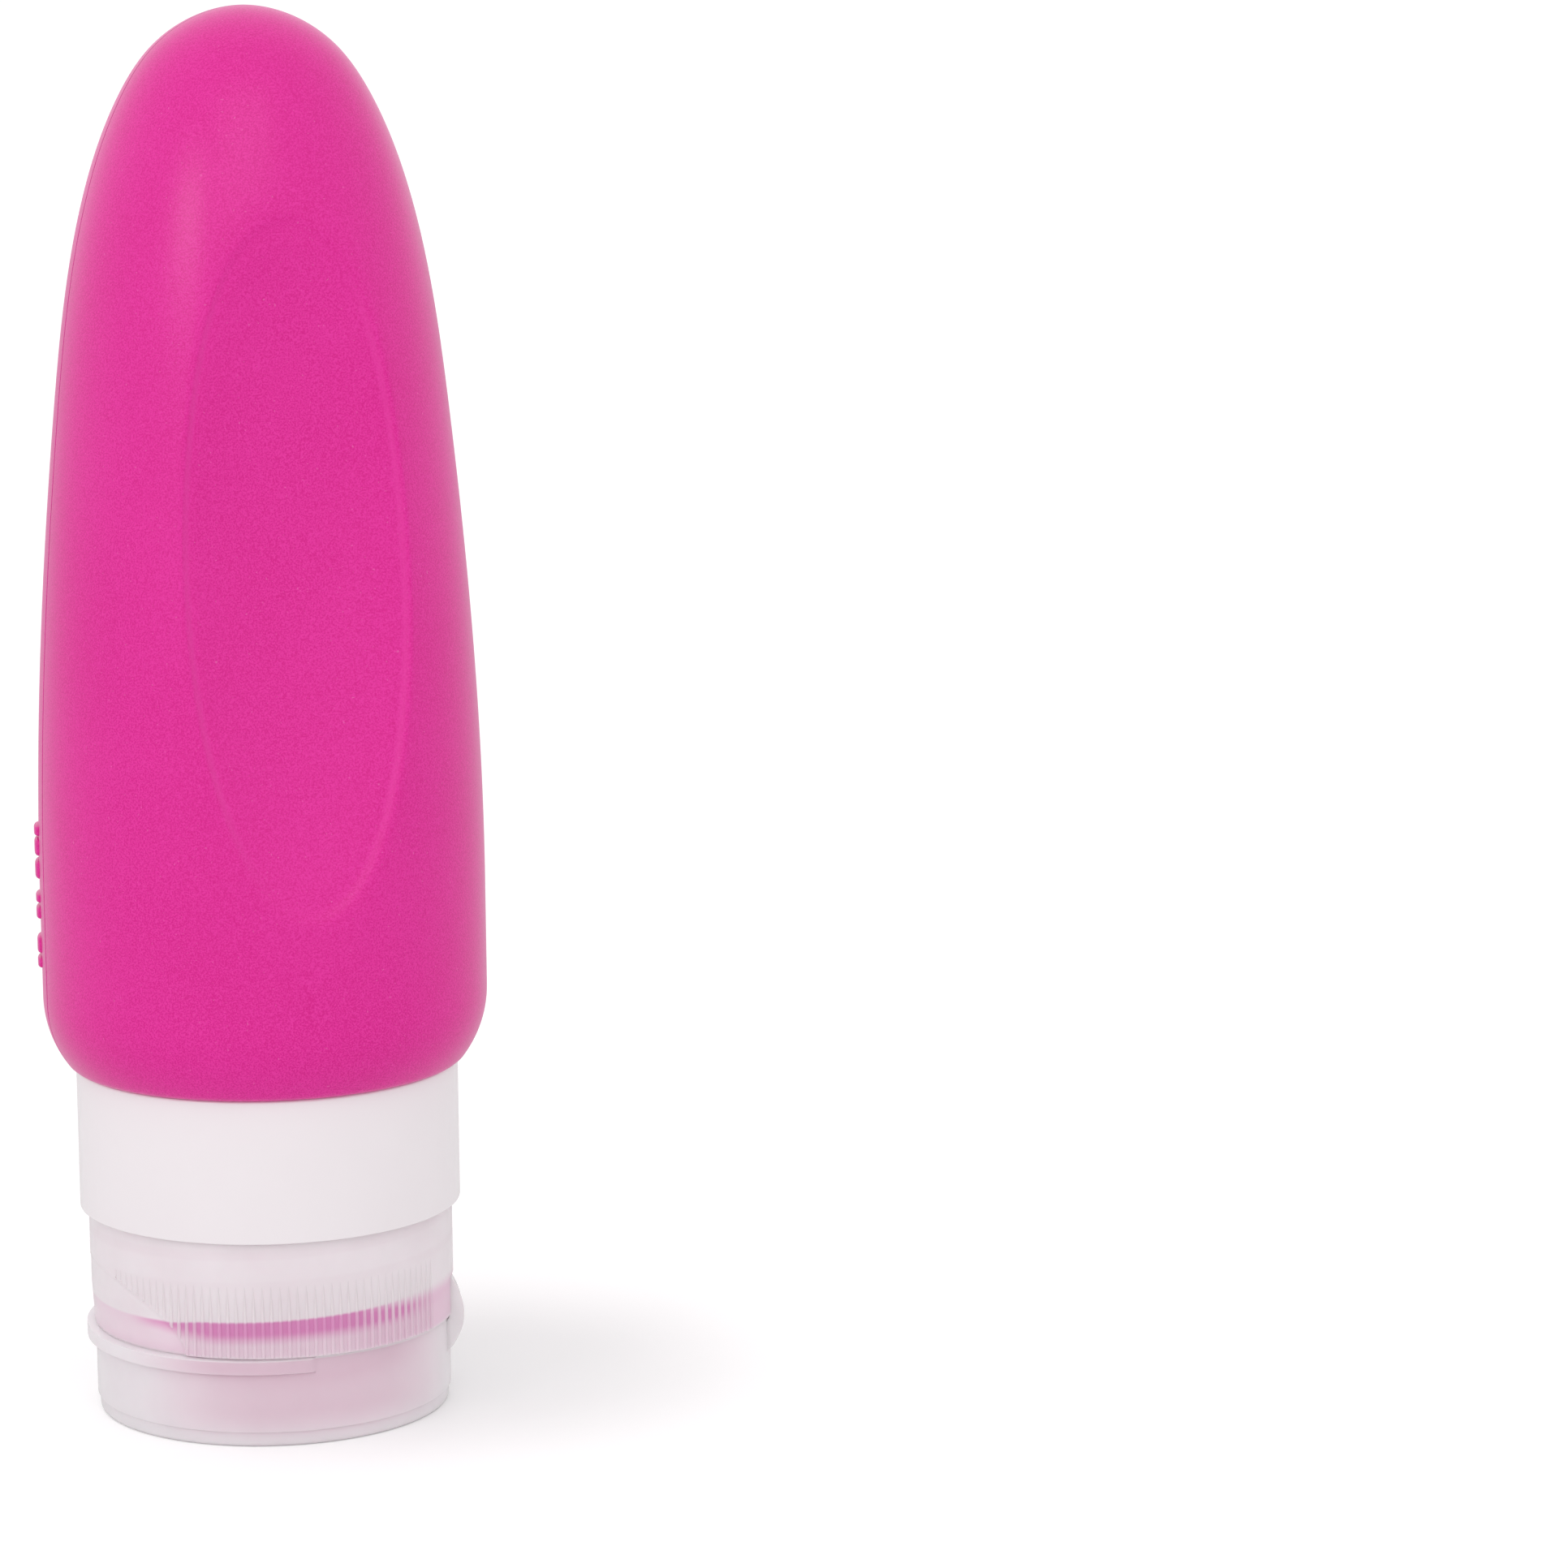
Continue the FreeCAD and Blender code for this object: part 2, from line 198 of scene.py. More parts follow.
def pressed(radii, floor, height, step):
    """Radii with the dish pressed in: a rounded rim and a low groove, softer at the dish's two ends."""
    depth = radii - floor
    off_middle = (height - dish_middle) / (dish_length / 2)
    towards_end = np.where(off_middle > 0, off_middle, -rim_low_share * off_middle)
    at_end = np.clip(towards_end, 0, rim_end_limit) ** rim_end_power
    softness = rim_softness * (1 + rim_end_softness * at_end)
    rounding = softness * np.log1p(np.exp(-np.abs(depth) / softness))
    rebound = rim_rebound * eased(depth, rim_wall, rim_rebound_reach * rim_wall)
    groove = step * (1 - rim_end_loss * np.minimum(at_end, 1)) * (eased(depth, 0, rim_wall) - rebound)
    return np.minimum(radii, floor) - rounding - groove


def shade_smooth(mesh):
    mesh.polygons.foreach_set("use_smooth", [True] * len(mesh.polygons))


def placed(name, data):
    """A new object in the scene."""
    obj = bpy.data.objects.new(name, data)
    bpy.context.collection.objects.link(obj)
    return obj


def cleaned(name, points, faces):
    """An object whose mesh has no doubles, faces outward and shades smoothly."""
    mesh = bpy.data.meshes.new(name)
    mesh.from_pydata(points, [], faces)
    work = bmesh.new()
    work.from_mesh(mesh)
    bmesh.ops.remove_doubles(work, verts=work.verts, dist=double_distance)
    bmesh.ops.dissolve_degenerate(work, edges=work.edges, dist=degenerate_length)
    bmesh.ops.recalc_face_normals(work, faces=work.faces)
    work.to_mesh(mesh)
    work.free()
    shade_smooth(mesh)
    mesh.set_sharp_from_angle(angle=sharp_angle)
    return placed(name, mesh)


def lathe(name, outline, angles, shape=None):
    """A closed mesh spun from an outline of (radius, height) rows; shape() may change each row's radii."""
    count = len(angles)
    rows = []
    for radius, height in outline:
        radii = np.full(count, radius)
        if shape:
            radii = shape(radii, angles, height)
        rows.append(np.stack([radii * np.sin(angles), -radii * np.cos(angles), np.full(count, height)], 1))
    bands = [(i, i + 1) for i in range(len(rows) - 1)]
    if outline[0][0] > 0 and outline[-1][0] > 0:
        bands.append((len(rows) - 1, 0))
    step = np.arange(count)
    after = (step + 1) % count
    faces = []
    for low, high in bands:
        faces += np.stack([low * count + step, low * count + after,
                           high * count + after, high * count + step], 1).tolist()
    return cleaned(name, np.concatenate(rows).tolist(), faces)


def mark_points(mesh, name, values):
    """Stores a number at each point of a mesh."""
    mesh.attributes.new(name, "FLOAT", "POINT").data.foreach_set("value", values)


class Wire:
    """A node's output; sums on it add Math nodes to its tree."""

    def __init__(self, nodes, socket):
        self.nodes, self.socket = nodes, socket

    def __neg__(self):
        return self.nodes.math("SUBTRACT", 0, self)

    def __add__(self, other):
        return self.nodes.math("ADD", self, other)

    def __radd__(self, other):
        return self.nodes.math("ADD", other, self)

    def __sub__(self, other):
        return self.nodes.math("SUBTRACT", self, other)

    def __rsub__(self, other):
        return self.nodes.math("SUBTRACT", other, self)

    def __mul__(self, other):
        return self.nodes.math("MULTIPLY", self, other)

    def __rmul__(self, other):
        return self.nodes.math("MULTIPLY", other, self)

    def __truediv__(self, other):
        return self.nodes.math("DIVIDE", self, other)


class Nodes:
    """A node tree whose nodes are made, set and then fed with values or wires."""

    def __init__(self, tree):
        self.tree = tree

    def feed(self, socket, value):
        if isinstance(value, Wire):
            self.tree.links.new(value.socket, socket)
        else:
            socket.default_value = value

    def node(self, kind, settings, inputs, output=0):
        """A wire from one output of a new node."""
        node = self.tree.nodes.new(kind)
        for key, value in settings.items():
            setattr(node, key, value)
        for key, value in inputs.items():
            self.feed(node.inputs[key], value)
        return Wire(self, node.outputs[output])

    def math(self, operation, *values):
        return self.node("ShaderNodeMath", {"operation": operation}, dict(enumerate(values)))

    def parts(self, vector):
        return [self.node("ShaderNodeSeparateXYZ", {}, {0: vector}, axis) for axis in "XYZ"]

    def light_path(self, question):
        return self.node("ShaderNodeLightPath", {}, {}, question)


class Finish(Nodes):
    """A material with patterns on the piece's own coordinates."""

    def __init__(self, name, **constants):
        self.material = bpy.data.materials.new(name)
        self.material.use_nodes = True
        super().__init__(self.material.node_tree)
        self.shader = self.tree.nodes["Principled BSDF"]
        for socket, value in constants.items():
            self.set(socket.replace("_", " "), value)

    def set(self, socket, value):
        self.feed(self.shader.inputs[socket], value)

    def place(self):
        return self.node("ShaderNodeTexCoord", {}, {}, "Object")

    def grain(self, scale, detail):
        """Even noise of about 1 / scale metres, from 0 to 1."""
        inputs = {"Vector": self.place(), "Scale": scale, "Detail": detail}
        return self.node("ShaderNodeTexNoise", {}, inputs, "Fac")

    def attribute(self, name):
        return self.node("ShaderNodeAttribute", {"attribute_name": name}, {}, "Fac")

    def ramp(self, value, low, high):
        """The same as eased(), in nodes."""
        inputs = {"Value": value, "From Min": low, "From Max": high}
        return self.node("ShaderNodeMapRange", {"interpolation_type": "SMOOTHSTEP"}, inputs, "Result")

    def mix(self, share, first, second):
        """A mix of two colours, by the node's numbered colour sockets."""
        inputs = {"Factor": share, 6: first, 7: second}
        return self.node("ShaderNodeMix", {"data_type": "RGBA"}, inputs, 2)

    def roughen(self, pattern, low, high):
        self.set("Roughness", low + (high - low) * pattern)

    def bump(self, height, depth, strength):
        inputs = {"Height": height, "Distance": depth, "Strength": strength}
        self.set("Normal", self.node("ShaderNodeBump", {}, inputs))

    def coat(self, obj):
        """Makes this the only material of an object."""
        obj.data.materials.clear()
        obj.data.materials.append(self.material)


side_line = math.pi / 2
seam_turn = seam_width / body_radius
even_angles = full_turn(body_columns)
off_seam = np.abs(np.abs(even_angles) - side_line) > seam_clear * seam_turn
seam_angles = seam_steps * seam_turn
body_angles = np.sort(np.concatenate([even_angles[off_seam], side_line + seam_angles,
                                      -side_line + seam_angles]))

shoulder_top = shoulder_bottom + shoulder_height
outside = np.concatenate([
    [(neck_inside, neck_end), (neck_outside, neck_end), (neck_outside, shoulder_bottom)],
    [(shoulder_foot - shoulder_inset, shoulder_bottom),
     (shoulder_foot - shoulder_bevel, shoulder_bottom + shoulder_lift)],
    shoulder(body_radius, shoulder_foot, shoulder_bottom, shoulder_height, shoulder_rows)[1:],
    [(body_radius, level) for level in np.linspace(shoulder_top + waist_gap, waist - waist_gap, waist_rows)],
    dome(body_radius, body_top, dome_rows)])
room_radius = body_radius - body_wall
room_floor = shoulder_bottom + shoulder_floor
inside = np.concatenate([
    dome(room_radius, body_top - body_wall, room_dome_rows)[::-1],
    shoulder(room_radius, neck_inside, room_floor, shoulder_top - room_floor, room_shoulder_rows)[::-1]])
inside_rows = {tuple(row) for row in inside}


def dished(radii, angles, height, inner):
    """Presses the dish into a row of either face of the wall."""
    if height < dish_low - 2 * dish_margin:
        return radii
    floor = dish_floor(angles, np.full_like(angles, height), body_wall if inner else 0)
    hollowed = pressed(radii, floor, height, 0 if inner else rim_step)
    hollowed = np.where(np.abs(angles) < math.pi / 2, hollowed, radii)
    return np.where(radii > 0, hollowed, 0)


def body_shape(radii, angles, height):
    """Presses in the dish and adds the fine groove that the mould's two halves leave outside."""
    inner = (radii[0], height) in inside_rows
    radii = dished(radii, angles, height, inner)
    if inner or height < shoulder_bottom or radii[0] < seam_end:
        return radii
    off = (np.abs(angles) - side_line) / seam_turn
    return radii - seam_depth * np.exp(-off * off)


def front_points(points):
    """Distances from the axis, the plain skin and the dish at points, and which are on the front."""
    bearing = np.arctan2(points[:, 0], -points[:, 1])
    level = points[:, 2]
    distance = np.hypot(points[:, 0], points[:, 1])
    plain, floor = skin(level), dish_floor(bearing, level)
    outer = distance > np.minimum(plain, floor) - body_wall / 2
    front = outer & (np.abs(bearing) < dish_bearing) & (level > dish_low - dish_margin)
    return distance, plain, floor, front


def sharpen_rim(mesh):
    """Divides the dish's rim finely and puts each new corner on the true surface."""
    work = bmesh.new()
    work.from_mesh(mesh)
    middles = np.array([face.calc_center_median() for face in work.faces])
    _, plain, floor, front = front_points(middles)
    chosen = front & (np.abs(plain - floor) < rim_reach)
    edges = {edge for face, near in zip(work.faces, chosen) if near for edge in face.edges}
    bmesh.ops.subdivide_edges(work, edges=list(edges), cuts=rim_cuts, use_grid_fill=True)
    corners = np.array([vert.co for vert in work.verts])
    distance, plain, floor, front = front_points(corners)
    target = pressed(plain, floor, corners[:, 2], rim_step)
    scales = target / np.maximum(distance, axis_clear)
    for vert, moved, scale in zip(work.verts, front & (distance > axis_clear), scales):
        if moved:
            vert.co.x *= scale
            vert.co.y *= scale
    work.to_mesh(mesh)
    work.free()
    shade_smooth(mesh)


def mark_lines(mesh):
    """Marks the parting line, and a painted highlight just inside the dish's rim, for the silicone's colour.
    """
    points = np.array([vertex.co for vertex in mesh.vertices])
    off = np.abs(points[:, 1]) / seam_width
    mark_points(mesh, "seam", np.where(points[:, 2] > shoulder_bottom, np.exp(-off * off), 0))
    _, plain, floor, front = front_points(points)
    sunk = plain - floor
    # Painted highlight just inside the rim, kept off the dish's ends.
    highlight = eased(sunk, *dish_highlight_start) * (1 - eased(sunk, *dish_highlight_end))
    highlight *= 1 - eased(np.abs(points[:, 2] - dish_middle), *dish_highlight_fade)
    mark_points(mesh, "edge", np.where(front, dish_highlight_share * highlight, 0))


silicone = Finish("pink_silicone", Specular_IOR_Level=silicone_shine)
speckle = silicone.grain(*speckle_grain)
cloud = silicone.grain(*cloud_grain)
mottle = silicone.ramp((1 - cloud_share) * speckle + cloud_share * cloud, *mottle_range)
mottled = silicone.mix(mottle, silicone_deep, silicone_pink)
dust = dust_share * silicone.ramp(silicone.grain(*dust_grain), *dust_range)
dusted = silicone.mix(dust, mottled, silicone_dust)
# The edge attribute paints the rim's highlight into the silicone's colour.
rim_highlighted = silicone.mix(silicone.attribute("edge"), dusted, dish_rim_highlight)
silicone.set("Base Color", silicone.mix(silicone.attribute("seam"), rim_highlighted, seam_dark))
silicone.roughen(cloud, *satin_rough)
silicone.bump(speckle, *speckle_bump)

silicone_body = lathe("silicone_body", np.concatenate([outside, inside]), body_angles, body_shape)
sharpen_rim(silicone_body.data)
mark_lines(silicone_body.data)
silicone.coat(silicone_body)
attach(silicone_body, "bottle")
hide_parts("squeeze_body")


# Collar ring
# An opaque white moulded ring, pressed over the silicone neck so that it can't pull off the insert.
collar_low, collar_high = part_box("collar_ring")
collar_bottom, collar_top = collar_low[2], collar_high[2]
collar_radius = collar_high[0]
collar_wall = 0.0012
collar_ledge = 0.0012
collar_edge = 0.0004
collar_lip_edge = 0.0001
collar_foot_edge = 0.00012
ring_columns = 192
rounding_points = 6
plastic_white = (0.93, 0.88, 0.905, 1)
plastic_shade = (0.90, 0.845, 0.87, 1)
flow_grain, pit_grain = (90, 3), (900, 2)
gloss_rough = (0.18, 0.28)
pit_bump = (0.00002, 0.25)


def rounded(corners):
    """A closed outline from (radius, height, rounding) corners."""
    outline = []
    for i, (radius, height, rounding) in enumerate(corners):
        here = Vector((radius, height))
        before = Vector(corners[i - 1][:2]) - here
        after = Vector(corners[(i + 1) % len(corners)][:2]) - here
        if not rounding:
            outline.append((radius, height))
            continue
        trim = rounding / math.tan(before.angle(after) / 2)
        start, end = here + trim * before.normalized(), here + trim * after.normalized()
        for t in np.linspace(0, 1, rounding_points):
            outline.append(tuple(start * (1 - t) ** 2 + here * 2 * t * (1 - t) + end * t * t))
    return outline


white = Finish("white_plastic")
flow = white.grain(*flow_grain)
white.set("Base Color", white.mix(flow, plastic_shade, plastic_white))
white.roughen(flow, *gloss_rough)
white.bump(white.grain(*pit_grain), *pit_bump)

collar_bore = collar_radius - collar_wall
white_collar = lathe("white_collar", rounded([
    (neck_inside, collar_bottom, 0), (collar_radius, collar_bottom, collar_foot_edge),
    (collar_radius, collar_top, collar_edge), (collar_bore, collar_top, collar_lip_edge),
    (collar_bore, collar_bottom + collar_ledge, 0),
    (neck_inside, collar_bottom + collar_ledge, 0)]), full_turn(ring_columns))
white.coat(white_collar)
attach(white_collar, "bottle")
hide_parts("collar_ring")


# Neck insert
# The rigid white neck, pushed into the silicone from inside until its barb catches.
# A screw thread runs round the stretch that the cap covers.
insert_low, insert_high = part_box("neck_insert")
insert_bottom, insert_top = insert_low[2], insert_high[2]
insert_bore = 0.0142
insert_radius = 0.0163
insert_edge = 0.0003
barb_radius = insert_high[0]
barb_height = 0.0012
barb_edge = 0.0001
thread_height = 0.00062
thread_pitch = 0.0032
thread_turns = 1.6
thread_start = insert_bottom + 0.0010
thread_foot, thread_crest, thread_root = 0.0009, 0.0003, 0.0002
thread_taper = 6
thread_facets = 96


def wound_thread(name):
    """A flat-topped thread with tapering ends, wound up the neck."""
    steps = int(thread_facets * thread_turns)
    section = [(-thread_foot, False), (-thread_crest, True), (thread_crest, True), (thread_foot, False)]
    sides = len(section)
    points, faces = [], []
    for i in range(steps + 1):
        share = i / steps
        angle = 2 * math.pi * thread_turns * share
        taper = min(1, thread_taper * share, thread_taper * (1 - share))
        for rise, on_crest in section:
            radius = insert_radius + (thread_height * taper if on_crest else -thread_root)
            points.append((radius * math.sin(angle), -radius * math.cos(angle),
                           thread_start + thread_pitch * thread_turns * share + rise))
    for start in range(0, sides * steps, sides):
        for j in range(sides):
            k = (j + 1) % sides
            faces.append((start + j, start + k, start + sides + k, start + sides + j))
    faces += [tuple(range(sides)), tuple(sides * steps + j for j in reversed(range(sides)))]
    return cleaned(name, points, faces)


def joined(name, *objects):
    """One object from several, with their meshes side by side."""
    work = bmesh.new()
    for obj in objects:
        work.from_mesh(obj.data)
    mesh = bpy.data.meshes.new(name)
    work.to_mesh(mesh)
    work.free()
    for obj in objects:
        bpy.data.objects.remove(obj)
    return placed(name, mesh)


barb_floor = insert_top - barb_height
sleeve = lathe("sleeve", rounded([
    (insert_bore, insert_bottom, insert_edge), (insert_radius, insert_bottom, insert_edge),
    (insert_radius, barb_floor, 0), (barb_radius, barb_floor, barb_edge),
    (barb_radius, barb_floor + barb_height / 2, barb_edge), (insert_radius, insert_top, barb_edge),
    (insert_bore, insert_top, insert_edge)]), full_turn(ring_columns))
threaded_neck = joined("threaded_neck", sleeve, wound_thread("thread"))
white.coat(threaded_neck)
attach(threaded_neck, "bottle")
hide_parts("neck_insert")


# Drip valve
# A thick silicone disc that seals the neck, with a thin bowed skin at its middle slit in a cross.
valve_low, valve_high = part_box("drip_valve")
hub_end, valve_top = valve_low[2], valve_high[2]
valve_radius = valve_high[0]
valve_thickness = 0.0015
valve_edge = 0.0002
hub_radius = 0.0042
hub_wall = 0.0008
skin_thickness = 0.0006
skin_bow = 0.0008
skin_rows = 10
slit_length = 0.0050
slit_width = 0.00016
slit_height = 0.002
valve_pink = (0.76, 0.055, 0.36, 1)
valve_deep = (0.66, 0.035, 0.29, 1)
valve_grain = (2600, 2)
valve_rough = (0.4, 0.6)
valve_bump = (0.00003, 0.4)


def applied(obj, modifier):
    """Makes a modifier's result the object's own mesh."""
    bpy.context.view_layer.update()
    evaluated = obj.evaluated_get(bpy.context.evaluated_depsgraph_get())
    mesh = bpy.data.meshes.new_from_object(evaluated)
    obj.modifiers.remove(modifier)
    obj.data = mesh


def cut(obj, *cutters):
    """Cuts other meshes out of an object for good."""
    for cutter in cutters:
        modifier = obj.modifiers.new("cut", "BOOLEAN")
        modifier.operation, modifier.solver, modifier.object = "DIFFERENCE", "EXACT", cutter
        applied(obj, modifier)
        bpy.data.objects.remove(cutter)


def block(name, low, high):
    """A plain block between two corners."""
    low, high = Vector(low), Vector(high)
    work = bmesh.new()
    bmesh.ops.create_cube(work, size=1, matrix=Matrix.Translation((low + high) / 2)
                          @ Matrix.Diagonal((*(high - low), 1)))
    mesh = bpy.data.meshes.new(name)
    work.to_mesh(mesh)
    work.free()
    return placed(name, mesh)


flange = valve_top - valve_thickness
well = hub_radius - hub_wall
skin_bend = (well * well + skin_bow * skin_bow) / (2 * skin_bow)
skin_peak = hub_end + skin_bow
skin_under = arc((well, hub_end), (0, skin_peak), (0, skin_peak - skin_bend), skin_rows)
skin_over = skin_under + (0, skin_thickness)
valve_disc = lathe("valve_disc", skin_under[::-1].tolist() + rounded([
    (hub_radius, hub_end, valve_edge), (hub_radius, flange, 0), (valve_radius, flange, valve_edge),
    (valve_radius, valve_top, valve_edge), (well, valve_top, valve_edge)]) + skin_over.tolist(),
    full_turn(ring_columns))
slit_reach, slit_side, slit_top = slit_length / 2, slit_width / 2, hub_end + slit_height
cut(valve_disc, block("slit", (-slit_reach, -slit_side, hub_end), (slit_reach, slit_side, slit_top)),
    block("cross_slit", (-slit_side, -slit_reach, hub_end), (slit_side, slit_reach, slit_top)))
valve_silicone = Finish("valve_silicone", Specular_IOR_Level=silicone_shine)
valve_pattern = valve_silicone.grain(*valve_grain)
valve_silicone.set("Base Color", valve_silicone.mix(valve_pattern, valve_deep, valve_pink))
valve_silicone.roughen(valve_pattern, *valve_rough)
valve_silicone.bump(valve_pattern, *valve_bump)
valve_silicone.coat(valve_disc)
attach(valve_disc, "valve")
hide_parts("drip_valve")


# Cap base
# The screw cap, moulded in milky plastic with the lid and hinge. Fine grip ribs run round its lower half,
# except at the shallow finger scoop on the left and the hinge's flat on the right.
cap_low, cap_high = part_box("cap_base")
leaf_height = 0.0039
joint_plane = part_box("hinge_leaf_base")[1][2] - leaf_height
cap_radius = 0.01845
cap_top = cap_high[2] + 0.00012
cap_foot_edge, cap_top_edge, mouth_edge = 0.00005, 0.0003, 0.0002
thread_bore = 0.0172
seat_radius = 0.0167
deck_floor = joint_plane + 0.00095
deck_top = deck_floor + 0.00085
seat_top = deck_top + 0.00155
nozzle_end = cap_low[2]
nozzle_radius = 0.0110
nozzle_step = deck_floor - 0.00385
nozzle_edge = 0.0005
bore_radius = 0.0060
bore_floor = deck_floor - 0.00105
lip_radius = 0.0093
lip_rows = 8
orifice_radius = 0.0044
orifice_edge = 0.0002
rim_inside = 0.0169
ledge_inside = 0.0151
ledge_floor = joint_plane + 0.00045
ridge_radius = 0.0140
ridge_inside = ridge_radius - 0.0005
ridge_end = deck_floor - 0.00075
fine_edge = 0.00015
scoop_half_width = 0.0139
scoop_height = 0.0071
scoop_depth = 0.00032
scoop_step = 0.00007
scoop_level = 0.0042
scoop_edge = 0.0003
scoop_from, scoop_to = -155, -25
scoop_columns, plain_columns = 220, 140
wall_step, flat_step = 0.00015, 0.00001
hinge_flat = 0.0172
flat_top = joint_plane + leaf_height
flat_limit = 0.3
tiny = 1e-6
milky_white = (0.98, 0.88, 0.92, 1)
milky_shade = (0.95, 0.82, 0.87, 1)
milky_depth = 0.0012
milky_radius = (1.0, 0.85, 0.92)
milky_grain, ripple_grain = (140, 3), (700, 2)
milky_rough = (0.16, 0.30)
milky_spread = 0.10
milky_sheen, milky_sheen_rough = 0.3, 0.4
milky_bend = 1.49
ripple_bump = (0.00003, 0.3)
cap_opacity, cap_scatter = 0.92, 0.5
cap_left, cap_right = (0.0146, 0.0168), (0.0085, 0.0142)
# Painted pink glow where the valve shows through the cap's wall, mixed into the colour as a band.
painted_valve_glow = (0.80, 0.28, 0.58, 1)
valve_lift, valve_tilt = 0.00043, 0.030
valve_drop, valve_drop_left = 0.0003, (0.0105, 0.0140)
# Painted pink glow over the cap above the joint, weaker on the left, and stronger on the right as painted
# reflected pink light.
painted_pink_glow_share, painted_pink_glow_level = 0.28, (joint_plane - 0.0003, joint_plane + 0.0004)
painted_pink_glow_left_loss, painted_pink_glow_left = 0.35, (0.0105, 0.0150)
painted_bounce_gain, painted_bounce_right = 0.4, (0, 0.008)
# Painted shade: a pinker tone low in the finger scoop's recess, just above the joint.
scoop_shade_share, scoop_shade_left, scoop_shade_level = 0.10, (0.010, 0.012), (joint_plane, joint_plane + 0.0014)
band_share, band_level = 0.74, (deck_floor, deck_top + 0.0007)
band_rise, band_rise_left = 0.0013, (0.0095, 0.0150)
band_loss = 0.90
seat_crisp, seat_blurred = (seat_top, seat_top + 0.00035), (seat_top - 0.0009, seat_top + 0.0006)
seat_blur_right = (0.003, 0.011)
rib_top = joint_plane + 0.0074
thread_shade = (0.86, 0.72, 0.78, 1)
thread_share, thread_wave = 0.18, (0.3, 0.95)
thread_level = (rib_top - 0.001, rib_top + 0.001)


def milky(name, white, shade, opacity, scatter):
    """Translucent polypropylene that scatters light; returns the finish, its colour and its X, Y and Z."""
    finish = Finish(name, IOR=milky_bend, Subsurface_Weight=scatter, Subsurface_Scale=milky_depth,
                    Subsurface_Radius=milky_radius, Sheen_Weight=milky_sheen,
                    Sheen_Roughness=milky_sheen_rough)
    pattern = finish.grain(*milky_grain)
    finish.roughen(pattern, *milky_rough)
    finish.set("Alpha", opacity - milky_spread / 2 + milky_spread * pattern)
    finish.bump(finish.grain(*ripple_grain), *ripple_bump)
    return finish, finish.mix(pattern, shade, white), finish.parts(finish.place())


def shows_valve(name, white, shade, opacity, scatter, glow, left, right):
    """Milky plastic in front of the pink valve, with light and shade painted into its colour: a band of
    painted pink glow where the valve shows through, fading out at left and right; a painted pink glow over
    the cap above the joint, weaker on the left and stronger on the right as painted reflected light; painted
    shade low in the finger scoop; and the neck's thread showing faintly as painted shade.
    """
    finish, colour, (x, y, z) = milky(name, white, shade, opacity, scatter)
    # Painted pink glow over the cap, with painted reflected light on the right.
    painted_pink_glow = painted_pink_glow_share * finish.ramp(z, *painted_pink_glow_level)
    painted_pink_glow = painted_pink_glow * (1 - painted_pink_glow_left_loss * finish.ramp(-x, *painted_pink_glow_left) + painted_bounce_gain * finish.ramp(x, *painted_bounce_right))
    # Painted shade low in the finger scoop.
    scoop_shade = scoop_shade_share * finish.ramp(-x, *scoop_shade_left) * (1 - finish.ramp(z, *scoop_shade_level))
    # A band of painted pink glow where the valve shows through, fading out at left and right.
    level = z - valve_lift - valve_tilt * x + valve_drop * finish.ramp(-x, *valve_drop_left)
    risen = level - band_rise * finish.ramp(-x, *band_rise_left)
    kept = 1 - band_loss * (finish.ramp(x, *right) + finish.ramp(-x, *left))
    band = band_share * finish.ramp(risen, *band_level) * kept
    crisp = 1 - finish.ramp(level, *seat_crisp)
    blurred = 1 - finish.ramp(level, *seat_blurred)
    below_seat = crisp + finish.ramp(x, *seat_blur_right) * (blurred - crisp)
    wave = finish.math("SINE", 2 * math.pi / thread_pitch * z - finish.math("ARCTAN2", x, -y))
    thread = thread_share * finish.ramp(wave, *thread_wave) * finish.ramp(z, *thread_level)
    colour = finish.mix(thread, colour, thread_shade)
    # Painted glow, painted reflected light and painted shade, all mixed towards the glow colour.
    finish.set("Base Color", finish.mix((painted_pink_glow + scoop_shade + band) * below_seat, colour, glow))
    return finish


def flattened(radii, angles):
    """Radii cut back to the hinge's flat at +X."""
    return np.minimum(radii, hinge_flat / np.maximum(np.sin(angles), flat_limit))


def cap_shape(radii, angles, height):
    """Scoops an arch out of the wall for a fingertip at -X and flattens it for the hinge at +X."""
    if radii[0] < thread_bore or height < joint_plane:
        return radii
    across, rise = cap_radius * np.cos(angles), height - joint_plane
    arch = np.hypot(across / scoop_half_width, rise / scoop_height)
    slope = np.hypot(across / scoop_half_width ** 2, rise / scoop_height ** 2) / np.maximum(arch, tiny)
    deepness = scoop_step + (scoop_depth - scoop_step) * max(1 - rise / scoop_level, 0)
    scooped = deepness * eased((1 - arch) / np.maximum(slope, tiny), 0, scoop_edge)
    radii = np.minimum(radii, cap_radius - np.where(angles < 0, scooped, 0))
    return flattened(radii, angles) if height < flat_top else radii


